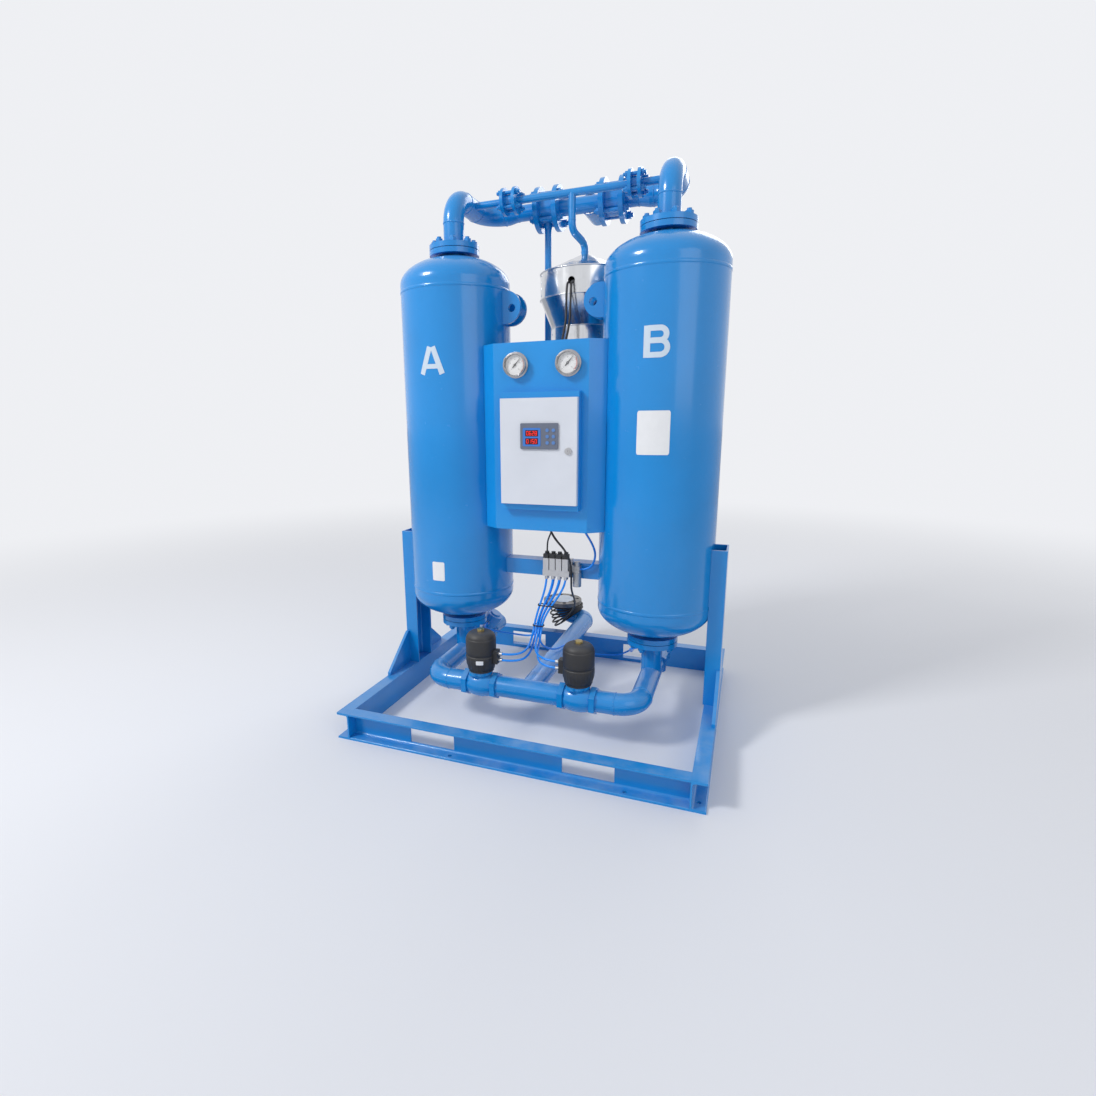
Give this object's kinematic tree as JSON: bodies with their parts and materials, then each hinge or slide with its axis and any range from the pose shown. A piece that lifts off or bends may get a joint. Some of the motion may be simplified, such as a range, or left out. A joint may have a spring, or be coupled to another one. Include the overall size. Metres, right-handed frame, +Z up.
{
  "type": "air dryer",
  "caption": "Skid-mounted twin-tower desiccant air dryer with a heater, blue painted steel, a hinged control box door, pressure gauges and switching valves.",
  "frame": {"origin": "middle of the four anchor holes in the skid, on the floor", "axes": "+X to the right, +Y to the back, away from the control door, +Z up"},
  "size_m": [1.28, 1.2323, 2.0105],
  "materials": {
    "skid_paint": "gloss",
    "tower_paint": "gloss",
    "pipe_paint": "gloss",
    "panel_paint": "gloss",
    "desiccant": "matte",
    "stainless": "brushed",
    "cladding": "satin",
    "gasket": "matte",
    "nickel": "satin",
    "brass": "satin",
    "black_plastic": "matte",
    "switchgear": "matte",
    "door_paint": "satin",
    "controller_case": "matte",
    "controller_keys": "matte",
    "dial_white": "matte",
    "pointer_black": "matte",
    "lens": "clear",
    "blue_tube": "gloss",
    "tie_black": "matte",
    "cable_black": "matte"
  },
  "bodies": {
    "dryer": {"front_beam": "skid_paint", "rear_beam": "skid_paint", "side_beams": "skid_paint", "posts": "skid_paint", "gussets": "skid_paint", "tie_bar": "skid_paint", "tower_a_shell": "tower_paint", "tower_b_shell": "tower_paint", "desiccant_beds": "desiccant", "bed_screens": "stainless", "lifting_lugs": "tower_paint", "vessel_flanges": "tower_paint", "pipe_flanges": "pipe_paint", "flange_gaskets": "gasket", "flange_bolts": "pipe_paint", "header_studs": "pipe_paint", "lower_left_pipe": "pipe_paint", "lower_right_pipe": "pipe_paint", "inlet_pipe": "pipe_paint", "union_nuts": "pipe_paint", "inlet_valve_bodies": "pipe_paint", "inlet_actuators": "black_plastic", "actuator_fittings": "nickel", "exhaust_valve_bodies": "pipe_paint", "exhaust_actuators": "pipe_paint", "silencers": "black_plastic", "header_a": "pipe_paint", "header_b": "pipe_paint", "header_middle": "pipe_paint", "check_valves": "pipe_paint", "purge_pipes": "pipe_paint", "dry_air_feed": "pipe_paint", "heater_vessel": "stainless", "heater_jacket": "cladding", "cross_rails": "skid_paint", "panel_cover": "panel_paint", "control_box": "panel_paint", "mounting_plate": "nickel", "switchgear": "switchgear", "box_hinges": "panel_paint", "gauge_cases": "stainless", "gauge_dials": "dial_white", "gauge_lenses": "lens", "pilot_valves": "nickel", "pilot_coils": "black_plastic", "filter_regulator": "black_plastic", "air_tubes": "blue_tube", "cable_ties": "tie_black", "cables": "cable_black", "power_coil": "cable_black"},
    "door": {"control_door": "door_paint", "door_hinges": "panel_paint", "lock_sleeve": "nickel", "controller": "controller_case", "controller_keys": "controller_keys"},
    "lock": {"lock_core": "nickel"},
    "left_pointer": {"pointer_a": "pointer_black"},
    "right_pointer": {"pointer_b": "pointer_black"},
    "left_indicator": {"indicator_a": "brass"},
    "right_indicator": {"indicator_b": "brass"}
  },
  "joints": [
    {"name": "door_hinge", "type": "hinge", "parent": "dryer", "child": "door", "pos_m": [-0.137, -0.1825, 1.015], "axis": [0, 0, -1], "range_deg": [0, 110]},
    {"name": "lock_turn", "type": "hinge", "parent": "door", "child": "lock", "pos_m": [0.116, -0.19, 1.018], "axis": [0, -1, 0], "range_deg": [0, 90]},
    {"name": "left_pointer_turn", "type": "hinge", "parent": "dryer", "child": "left_pointer", "pos_m": [-0.086, -0.174, 1.308], "axis": [0, 1, 0], "range_deg": [-177, 93]},
    {"name": "right_pointer_turn", "type": "hinge", "parent": "dryer", "child": "right_pointer", "pos_m": [0.102, -0.174, 1.308], "axis": [0, 1, 0], "range_deg": [-177, 93]},
    {"name": "left_indicator_lift", "type": "slide", "parent": "dryer", "child": "left_indicator", "axis": [0, 0, 1], "range_m": [0, 0.012]},
    {"name": "right_indicator_lift", "type": "slide", "parent": "dryer", "child": "right_indicator", "axis": [0, 0, 1], "range_m": [0, 0.012]}
  ]
}
